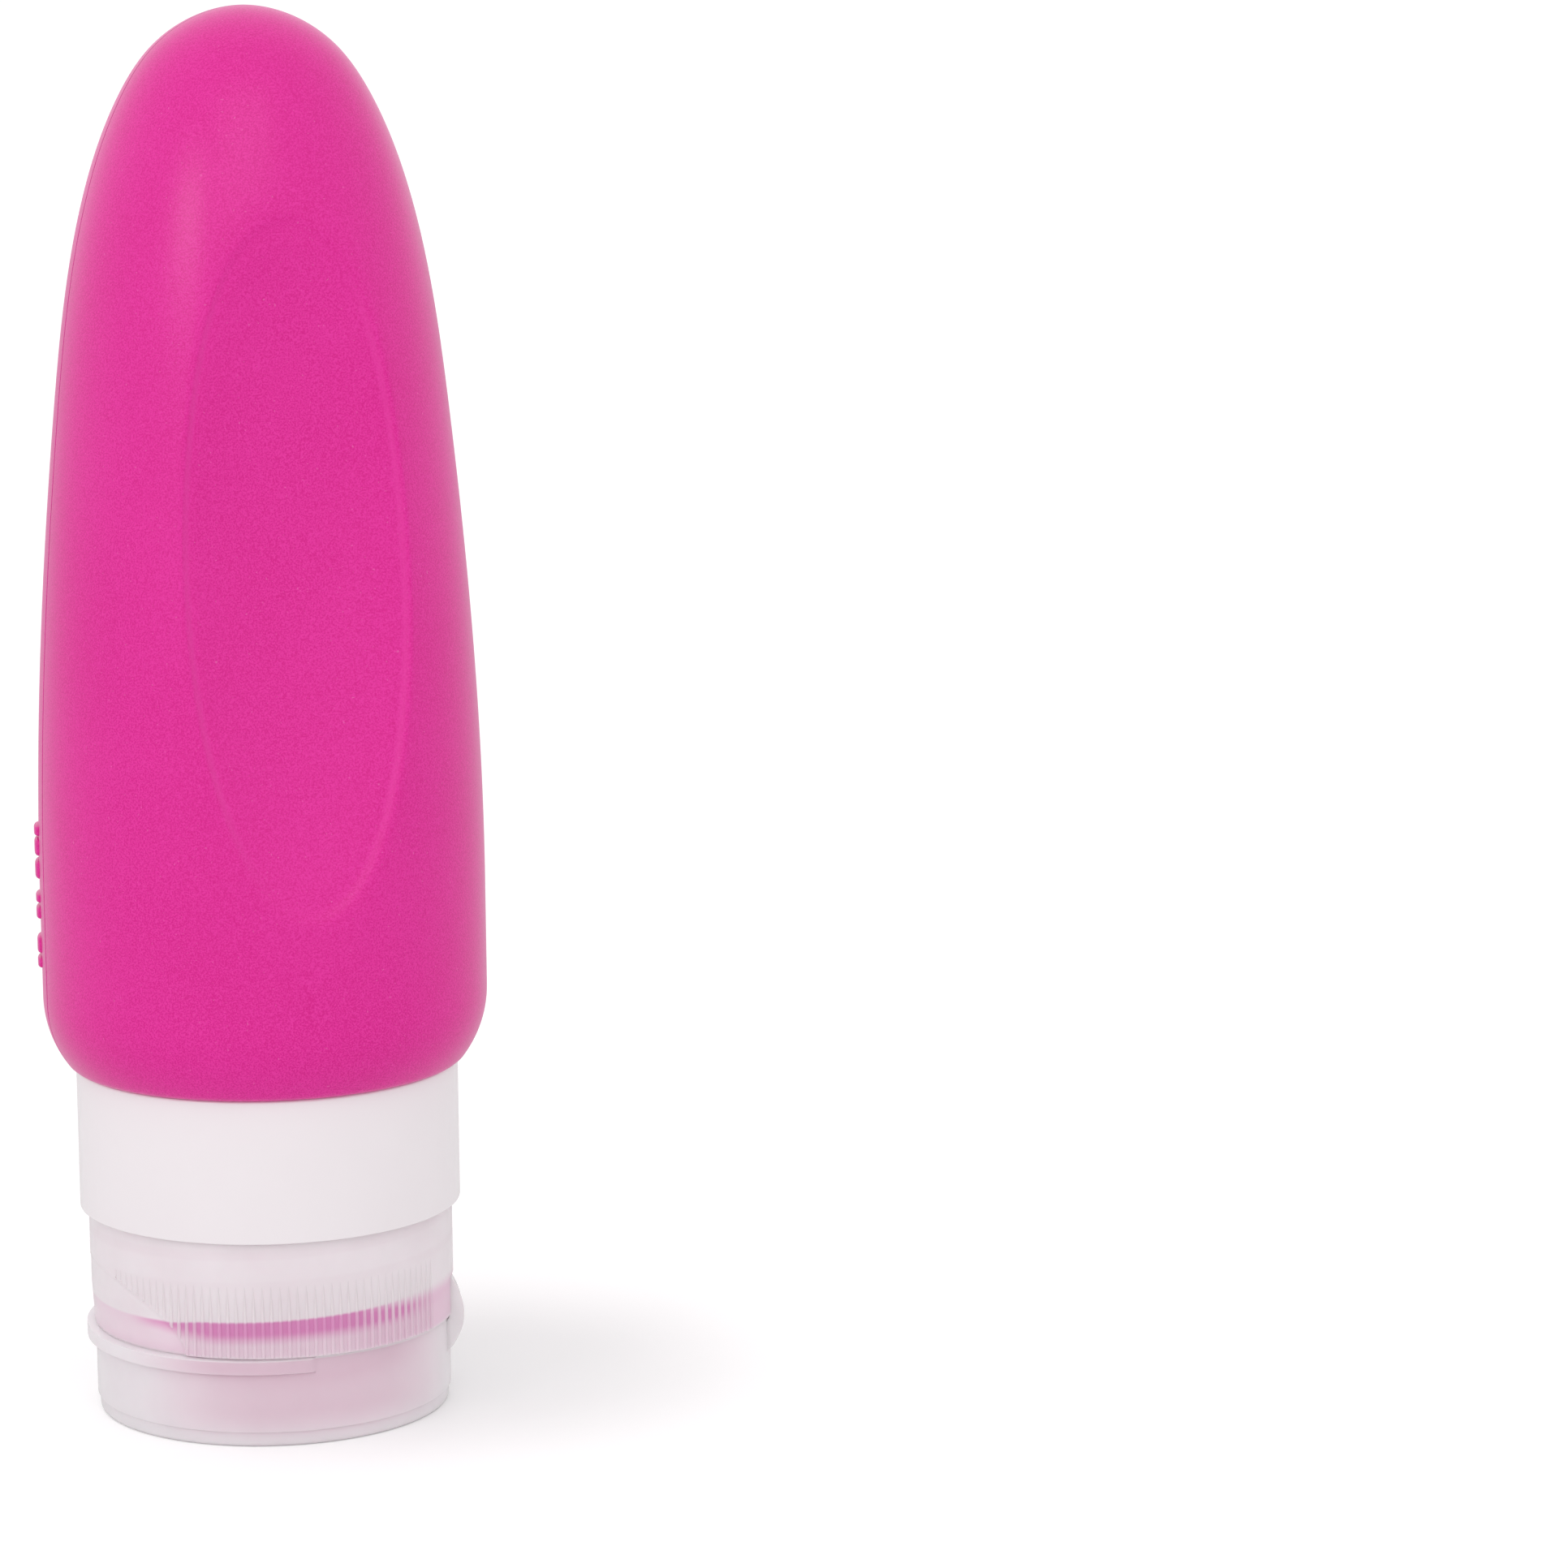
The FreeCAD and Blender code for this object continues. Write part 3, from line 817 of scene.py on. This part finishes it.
lip_middle = (bore_radius + lip_radius) / 2
lip_centre = (lip_middle, nozzle_end + (lip_radius - bore_radius) / 2)
lip = np.concatenate([
    arc((bore_radius, lip_centre[1]), (lip_middle, nozzle_end), lip_centre, lip_rows),
    arc((lip_middle, nozzle_end), (lip_radius, lip_centre[1]), lip_centre, lip_rows)[1:]])
wall_start = joint_plane + 2 * wall_step
even_levels = np.arange(wall_start, wall_start + scoop_height, wall_step)
wall_levels = np.sort(np.append(even_levels, [flat_top - flat_step, flat_top + flat_step]))
cap_outline = lip.tolist() + rounded([
    (lip_radius, nozzle_step, 0), (nozzle_radius, nozzle_step, nozzle_edge), (nozzle_radius, deck_floor, 0),
    (ridge_inside, deck_floor, 0), (ridge_inside, ridge_end, fine_edge),
    (ridge_radius, ridge_end, fine_edge), (ridge_radius, deck_floor, 0), (ledge_inside, deck_floor, 0),
    (ledge_inside, ledge_floor, fine_edge), (rim_inside, ledge_floor, 0),
    (rim_inside, joint_plane, fine_edge), (cap_radius, joint_plane, cap_foot_edge)] + [
    (cap_radius, level, 0) for level in wall_levels] + [
    (cap_radius, cap_top, cap_top_edge), (thread_bore, cap_top, mouth_edge), (thread_bore, seat_top, 0),
    (seat_radius, seat_top, 0), (seat_radius, deck_top, 0), (orifice_radius, deck_top, 0),
    (orifice_radius, bore_floor, orifice_edge), (bore_radius, bore_floor, 0)])
cap_angles = np.radians(np.concatenate([
    np.linspace(scoop_from, scoop_to, scoop_columns),
    np.linspace(scoop_to, scoop_from + 360, plain_columns)[1:-1]]))
cap_angles[cap_angles > math.pi] -= 2 * math.pi
milky_cap = lathe("milky_cap", cap_outline, np.sort(cap_angles), cap_shape)
milky_plastic = shows_valve("milky_plastic", milky_white, milky_shade, cap_opacity, cap_scatter, painted_valve_glow,
                            cap_left, cap_right)
milky_plastic.coat(milky_cap)
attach(milky_cap, "cap")
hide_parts("cap_base")


# Grip ribs
# Fine upright ribs of the cap's own moulding that taper out at half its height.
# They stop at the finger scoop's arch and either side of the hinge.
rib_count = 132
rib_radius = 0.00024
rib_sink = 0.00008
rib_gap = 0.0001
rib_stop = math.radians(42)
rib_rows, rib_sides = 9, 8
rib_taper_start, rib_tip_share = 0.45, 0.36
rib_shortest = 0.0008
rib_merge = 0.000005
rib_shade = (0.96, 0.84, 0.89, 1)
# Painted pink glow of the valve on the ribs.
painted_rib_glow = (0.84, 0.33, 0.62, 1)
rib_opacity, rib_scatter = 0.85, 0.2
rib_left, rib_right = (0.0085, 0.0150), (0.0010, 0.0090)


class Tree(Nodes):
    """A geometry tree with named inputs for its sizes, each read as tree["Name"]."""

    def __init__(self, name, **sizes):
        super().__init__(bpy.data.node_groups.new(name, "GeometryNodeTree"))
        self.sizes = sizes
        sockets = self.tree.interface
        sockets.new_socket("Geometry", in_out="OUTPUT", socket_type="NodeSocketGeometry")
        sockets.new_socket("Geometry", in_out="INPUT", socket_type="NodeSocketGeometry")
        for size, value in sizes.items():
            kind = "NodeSocketInt" if isinstance(value, int) else "NodeSocketFloat"
            sockets.new_socket(size, in_out="INPUT", socket_type=kind)
        self.given = self.tree.nodes.new("NodeGroupInput").outputs

    def __getitem__(self, name):
        return Wire(self, self.given[name])

    def vector(self, **parts):
        return self.node("ShaderNodeCombineXYZ", {}, parts)

    def mesh_object(self, name, geometry, material, seeds=(), **numbers):
        """Ends the tree and returns its result on seed points as a plain object."""
        single = self.node("GeometryNodeRealizeInstances", {}, {0: geometry})
        coated = self.node("GeometryNodeSetMaterial", {}, {"Geometry": single, "Material": material})
        self.feed(self.tree.nodes.new("NodeGroupOutput").inputs[0], coated)
        points = bpy.data.meshes.new(name + "_seeds")
        points.from_pydata(seeds, [], [])
        for number, values in numbers.items():
            mark_points(points, number, values)
        obj = placed(name, points)
        modifier = obj.modifiers.new("tree", "NODES")
        modifier.node_group = self.tree
        for item in self.tree.interface.items_tree:
            if item.in_out == "INPUT" and item.name in self.sizes:
                modifier[item.identifier] = self.sizes[item.name]
        applied(obj, modifier)
        shade_smooth(obj.data)
        return obj


ribs = Tree("grip_ribs", Count=rib_count, Ring=cap_radius - rib_sink, Bottom=joint_plane + rib_gap,
            Top=rib_top, Thickness=rib_radius, Hinge=cap_radius * math.cos(rib_stop),
            ArchWidth=scoop_half_width, ArchHeight=scoop_height)
ring = ribs.node("GeometryNodeMeshCircle", {}, {"Vertices": ribs["Count"], "Radius": ribs["Ring"]})
spine = ribs.node("GeometryNodeCurvePrimitiveLine", {}, {
    "Start": ribs.vector(Z=ribs["Bottom"]), "End": ribs.vector(Z=ribs["Top"])})
spine_rows = ribs.node("GeometryNodeResampleCurve", {}, {"Curve": spine, "Count": rib_rows})
taper = ribs.node("ShaderNodeMapRange", {}, {
    "Value": ribs.node("GeometryNodeSplineParameter", {}, {}, "Factor"),
    "From Min": rib_taper_start, "To Min": 1, "To Max": rib_tip_share})
rib_section = ribs.node("GeometryNodeCurvePrimitiveCircle", {}, {
    "Resolution": rib_sides, "Radius": ribs["Thickness"]})
rib = ribs.node("GeometryNodeCurveToMesh", {}, {
    "Curve": spine_rows, "Profile Curve": rib_section, "Scale": taper, "Fill Caps": True})
rib_x, rib_y, rib_z = ribs.parts(ribs.node("GeometryNodeInputPosition", {}, {}))
across_arch = rib_y / ribs["ArchWidth"]
arch_share = ribs.math("SQRT", ribs.math("MAXIMUM", 1 - across_arch * across_arch, 0))
rib_foot = ribs["Bottom"] + arch_share * ribs["ArchHeight"] * ribs.math("LESS_THAN", rib_x, 0)
wanted = (ribs.math("LESS_THAN", rib_x, ribs["Hinge"])
          * ribs.math("LESS_THAN", rib_foot, ribs["Top"] - rib_shortest))
rib_row = ribs.node("GeometryNodeInstanceOnPoints", {}, {
    "Points": ring, "Selection": wanted, "Instance": rib})
above_arch = ribs.vector(X=rib_x, Y=rib_y, Z=ribs.math("MAXIMUM", rib_z, rib_foot))
clipped = ribs.node("GeometryNodeSetPosition", {}, {
    "Geometry": ribs.node("GeometryNodeRealizeInstances", {}, {0: rib_row}), "Position": above_arch})
merged = ribs.node("GeometryNodeMergeByDistance", {}, {"Geometry": clipped, "Distance": rib_merge})
rib_plastic = shows_valve("rib_plastic", milky_white, rib_shade, rib_opacity, rib_scatter, painted_rib_glow,
                          rib_left, rib_right)
grip_ribs = ribs.mesh_object("grip_ribs", merged, rib_plastic.material)
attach(grip_ribs, "cap")


# Lid
# The flip lid that the bottle stands on: a flat plate and skirt, a tall ring that seals round the nozzle,
# and a pin in a small ring that holds the valve shut. A crescent lip at the left lifts it.
lid_radius = 0.01805
lid_rim = joint_plane - 0.00004
lid_wall = 0.0013
lid_columns = 256
plate = 0.0013
foot_height = 0.0015
foot_inset = 0.00025
foot_edge = 0.0004
skirt_edge = 0.0005
seal_outside, seal_inside, seal_end = 0.0114, 0.0101, 0.0061
seal_edge = 0.0004
boss_outside, boss_inside, boss_end = 0.0042, 0.0033, 0.0056
ring_edge = 0.0003
pin_radius, pin_end = 0.0014, 0.0085
pin_edge = 0.0002
pin_rows = 8
pin_rib_width, pin_rib_end, pin_rib_sink = 0.0007, 0.0044, 0.0001
rim_edge = 0.00006
thumb_reach = 0.0009
thumb_edge = 0.00025
thumb_high = lid_rim - 0.0001
thumb_low = thumb_high - 0.0016
thumb_off, thumb_on = 0.00003, 0.00012
lid_flat = joint_plane - leaf_height
lid_flat_step = 0.00002
notch_inside = hinge_flat - 0.0019
notch_outside = lid_radius + 0.002
notch_half_width = 0.0074
notch_bottom = joint_plane - 0.0026
notch_top = lid_rim + 0.001
lid_white = (0.98, 0.90, 0.94, 1)
lid_shade = (0.95, 0.85, 0.90, 1)
# Painted pink glow in the lid's colour: strongest at the front and back and towards the top, fainter at the
# sides and the foot, and taken out just under the rim as a painted highlight.
painted_lid_glow = (0.81, 0.60, 0.70, 1)
lid_opacity, lid_scatter = 0.90, 0.5
glow_depth = (0.0080, 0.0185)
glow_base = 0.15
glow_foot, glow_foot_level = 0.70, (0, 0.004)
glow_head, glow_head_level = 0.35, (0.005, lid_rim)
lid_highlight_share, lid_highlight_level = 0.9, (lid_rim - 0.0004, lid_rim - 0.00015)


def lid_shape(radii, angles, height):
    """Adds the thumb lip's crescent at -X and flattens the skirt for the hinge at +X."""
    if radii[0] < lid_radius - lid_wall / 2:
        return radii
    off = angles + math.pi / 2
    if thumb_low < height < thumb_high:
        shift, round_lip = thumb_reach - thumb_edge, lid_radius + thumb_edge
        crescent = shift * np.cos(off) + np.sqrt(round_lip ** 2 - (shift * np.sin(off)) ** 2)
        radii = np.where(np.abs(off) < math.pi / 2, np.maximum(radii, crescent), radii)
    return flattened(radii, angles) if height > lid_flat else radii


skirt = lid_radius - lid_wall
pin_base = pin_end - pin_radius
lid_outline = arc((0, pin_end), (pin_radius, pin_base), (0, pin_base), pin_rows).tolist() + rounded([
    (pin_radius, plate, pin_edge), (boss_inside, plate, pin_edge), (boss_inside, boss_end, fine_edge),
    (boss_outside, boss_end, ring_edge), (boss_outside, plate, ring_edge), (seal_inside, plate, ring_edge),
    (seal_inside, seal_end, fine_edge), (seal_outside, seal_end, seal_edge),
    (seal_outside, plate, ring_edge), (skirt, plate, skirt_edge), (skirt, lid_rim, rim_edge),
    (lid_radius, lid_rim, rim_edge), (lid_radius, thumb_high + thumb_off, 0),
    (lid_radius, thumb_high - thumb_on, 0), (lid_radius, thumb_low + thumb_on, 0),
    (lid_radius, thumb_low - thumb_off, 0), (lid_radius, lid_flat + lid_flat_step, 0),
    (lid_radius, lid_flat - lid_flat_step, 0), (lid_radius, foot_height, fine_edge),
    (lid_radius - foot_inset, foot_height, 0), (lid_radius - foot_inset, 0, foot_edge)]) + [(0, 0)]
lid_shell = lathe("lid_shell", lid_outline, full_turn(lid_columns), lid_shape)
cut(lid_shell, block("notch", (notch_inside, -notch_half_width, notch_bottom),
                     (notch_outside, notch_half_width, notch_top)))
pin_rib_side, pin_rib_reach = pin_rib_width / 2, (boss_inside + boss_outside) / 2
pin_rib = block("pin_rib", (-pin_rib_side, -pin_rib_reach, plate - pin_rib_sink),
                (pin_rib_side, pin_rib_reach, pin_rib_end))
milky_lid = joined("milky_lid", lid_shell, pin_rib)
lid_plastic, lid_colour, (_, lid_y, lid_z) = milky("lid_plastic", lid_white, lid_shade,
                                                   lid_opacity, lid_scatter)
# Painted pink glow by front and back and by height, with a painted highlight just under the rim.
deep = lid_plastic.ramp(lid_plastic.math("ABSOLUTE", lid_y), *glow_depth)
rising = (glow_base + glow_foot * lid_plastic.ramp(lid_z, *glow_foot_level)
          + glow_head * lid_plastic.ramp(lid_z, *glow_head_level))
below_lid_highlight = 1 - lid_highlight_share * lid_plastic.ramp(lid_z, *lid_highlight_level)
lid_plastic.set("Base Color", lid_plastic.mix(deep * rising * below_lid_highlight, lid_colour, painted_lid_glow))
lid_plastic.coat(milky_lid)
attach(milky_lid, "lid")
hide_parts("lid")


# Hinge strap
# The living hinge: a bowed strap of the same moulding, thinned by a groove along its middle,
# where the real strap folds. Here it is built at rest and does not move with the lid.
strap_half_width = 0.0080
strap_reach = 0.01845
strap_wrap = 0.0004
strap_web = 0.0009
strap_end_web = 0.0006
strap_root_web = 0.00006
strap_groove, strap_groove_end = 0.0002, 0.0010
strap_rows, strap_columns = 33, 17
strap_white = (0.99, 0.95, 0.97, 1)
strap_opacity, strap_scatter = 0.70, 0.4

strap_rise = strap_reach - hinge_flat - strap_root_web
strap_bend = (strap_rise * strap_rise + leaf_height * leaf_height) / (2 * strap_rise)
strap_swing = math.asin(leaf_height / strap_bend)


def strap_point(angle, share, inner):
    """A point of the strap's outer or inner face, by its bow's angle and a share of its half width."""
    off = strap_bend * math.sin(angle)
    bow = 1 - strap_bend * (1 - math.cos(angle)) / strap_rise
    wall = cap_radius if off > 0 else lid_radius
    y = share * strap_half_width
    root = min(hinge_flat, math.sqrt(wall * wall - y * y))
    foot = root + strap_root_web
    x = foot + bow * (strap_reach - strap_wrap * share * share - foot)
    if inner:
        web = strap_web + strap_end_web * share * share
        thick = eased(abs(off), strap_groove, strap_groove_end)
        x = x - web + (min(root, x - web * bow) - x + web) * thick - strap_root_web
    return x, y, joint_plane + off


strap_points = [strap_point(angle, share, inner) for inner in (False, True)
                for angle in np.linspace(strap_swing, -strap_swing, strap_rows)
                for share in np.linspace(-1, 1, strap_columns)]
grid = np.arange(strap_rows * strap_columns).reshape(strap_rows, strap_columns)
outer_faces = np.stack([grid[:-1, :-1], grid[:-1, 1:], grid[1:, 1:], grid[1:, :-1]], 2).reshape(-1, 4)
inner_faces = outer_faces[:, ::-1] + grid.size
border = np.concatenate([grid[0, :-1], grid[:-1, -1], grid[-1, :0:-1], grid[:0:-1, 0]])
border_after = np.roll(border, -1)
side_faces = np.stack([border, border + grid.size, border_after + grid.size, border_after], 1)
strap_faces = np.concatenate([outer_faces, inner_faces, side_faces])
hinge_strap = cleaned("hinge_strap", strap_points, strap_faces.tolist())
strap_plastic, strap_colour, _ = milky("strap_plastic", strap_white, lid_shade, strap_opacity, strap_scatter)
strap_plastic.set("Base Color", strap_colour)
strap_plastic.coat(hinge_strap)
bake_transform(hinge_strap)
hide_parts("hinge_leaf_base", "hinge_leaf_lid")


# Raised marks
# A column of plain bars moulded proud of the silicone, low on its left side just behind the parting line.
bar_levels = [0.05995, 0.05825, 0.05595, 0.05305, 0.05155, 0.04825, 0.04645]
bar_lengths = [0.0012, 0.0020, 0.0021, 0.0010, 0.0014, 0.0020, 0.0012]
bar_bearing = math.radians(-103)
bar_depth = 0.00122
bar_width = 0.0042
bar_sink = 0.00014
bar_rows, bar_smoothing = 4, 2

marks = Tree("side_marks", Depth=bar_depth, Width=bar_width, Bearing=bar_bearing - math.pi / 2)
bar = marks.node("GeometryNodeMeshCube", {}, {
    "Size": marks.vector(X=marks["Depth"], Y=marks["Width"], Z=1), "Vertices Z": bar_rows})
bar_length = marks.node("GeometryNodeInputNamedAttribute", {"data_type": "FLOAT"}, {"Name": "length"})
bar_column = marks.node("GeometryNodeInstanceOnPoints", {}, {
    "Points": marks["Geometry"], "Instance": bar, "Scale": marks.vector(X=1, Y=1, Z=bar_length)})
aimed = marks.node("GeometryNodeTransform", {}, {
    "Geometry": bar_column, "Rotation": marks.vector(Z=marks["Bearing"])})
softened = marks.node("GeometryNodeSubdivisionSurface", {}, {
    "Mesh": marks.node("GeometryNodeRealizeInstances", {}, {0: aimed}), "Level": bar_smoothing})
side_marks = marks.mesh_object("side_marks", softened, silicone.material,
                               [(body_radius - bar_sink, 0, level) for level in bar_levels],
                               length=bar_lengths)
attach(side_marks, "bottle")


# Floor, light and camera
# A white sweep under soft daylight from the front left, and the photograph's own viewpoint.
floor_size = 12.0
floor_white = (0.83, 0.83, 0.83, 1)
floor_grey = (0.81, 0.81, 0.81, 1)
floor_grain = (30, 2)
floor_rough, floor_shine = 0.6, 0.2
# The camera-only glow is weaker in a pool right of the bottle: partly the real shadow, partly painted
# shadow.
floor_glow_near, floor_glow_far = 0.12, 0.30
shade_centre = (0.022, 0.003, 0)
shade_reach = (0.010, 0.042)
photo_size = 1932
focal_pixels = 7221.26
film_width = 36
near_clip = 0.01
view_bearing = math.radians(-13)
view_distance, view_height = 0.58257, 0.172044
view_aside = math.radians(5.188)
view_down, view_roll = 0.1848415, -0.00730702
key_bearing, key_rise = math.radians(-55), math.radians(24)
key_distance, key_size, key_power = 1.1, 0.30, 0.95
fill_bearing, fill_rise = view_bearing, math.radians(40)
fill_distance, fill_size, fill_power = 1.2, 0.80, 1.3
sky_white = (1, 1, 1, 1)
sky_strength = 0.88

floor_mesh = bpy.data.meshes.new("floor")
half = floor_size / 2
floor_corners = [(-half, -half, 0), (half, -half, 0), (half, half, 0), (-half, half, 0)]
floor_mesh.from_pydata(floor_corners, [], [(0, 1, 2, 3)])
floor = placed("floor", floor_mesh)
sweep = Finish("white_sweep", Roughness=floor_rough, Specular_IOR_Level=floor_shine)
sweep.set("Base Color", sweep.mix(sweep.grain(*floor_grain), floor_grey, floor_white))
# Painted shadow: the sweep's glow drops towards the pool's centre right of the bottle.
away = sweep.node("ShaderNodeVectorMath", {"operation": "DISTANCE"}, {0: sweep.place(), 1: shade_centre},
                  "Value")
lightness = sweep.ramp(away, *shade_reach)
floor_glow = floor_glow_near + (floor_glow_far - floor_glow_near) * lightness
glow = sweep.node("ShaderNodeEmission", {}, {"Strength": floor_glow * sweep.light_path("Is Camera Ray")})
lit = sweep.node("ShaderNodeAddShader", {}, {0: Wire(sweep, sweep.shader.outputs[0]), 1: glow})
sweep.feed(sweep.tree.nodes["Material Output"].inputs["Surface"], lit)
sweep.coat(floor)

world = bpy.data.worlds.new("sky")
bpy.context.scene.world = world
world.use_nodes = True
sky = Nodes(world.node_tree)
background = world.node_tree.nodes["Background"]
direct = sky.math("MAXIMUM", sky.light_path("Is Camera Ray"), sky.light_path("Is Glossy Ray"))
seen = sky.math("MAXIMUM", direct, sky.light_path("Is Transmission Ray"))
sky.feed(background.inputs["Color"], sky_white)
sky.feed(background.inputs["Strength"], sky_strength + (1 - sky_strength) * seen)


def soft_lamp(name, bearing, rise, distance, size, power):
    """A square lamp that faces the middle of the bottle from a bearing and a height angle."""
    data = bpy.data.lights.new(name, "AREA")
    data.energy, data.size = power, size
    lamp = placed(name, data)
    aim = Vector((math.sin(bearing) * math.cos(rise), -math.cos(bearing) * math.cos(rise), math.sin(rise)))
    lamp.location = Vector((0, 0, body_top / 2)) + distance * aim
    lamp.rotation_euler = aim.to_track_quat("Z", "Y").to_euler()


soft_lamp("key", key_bearing, key_rise, key_distance, key_size, key_power)
soft_lamp("fill", fill_bearing, fill_rise, fill_distance, fill_size, fill_power)

camera_data = bpy.data.cameras.new("camera")
camera_data.sensor_width = film_width
camera_data.lens = focal_pixels / photo_size * film_width
camera_data.clip_start = near_clip
camera = placed("camera", camera_data)
heading = view_aside - view_bearing
forward = Vector((math.sin(heading) * math.cos(view_down), math.cos(heading) * math.cos(view_down),
                  -math.sin(view_down)))
right = Vector((math.cos(heading), -math.sin(heading), 0))
up = right.cross(forward)
leaned_right = math.cos(view_roll) * right + math.sin(view_roll) * up
leaned_up = math.cos(view_roll) * up - math.sin(view_roll) * right
axes = Matrix((leaned_right, leaned_up, -forward)).transposed()
viewpoint = Vector((view_distance * math.sin(view_bearing), -view_distance * math.cos(view_bearing),
                    view_height))
camera.matrix_world = Matrix.Translation(viewpoint) @ axes.to_4x4()
bpy.context.scene.camera = camera
bpy.context.scene.view_settings.view_transform = "Standard"
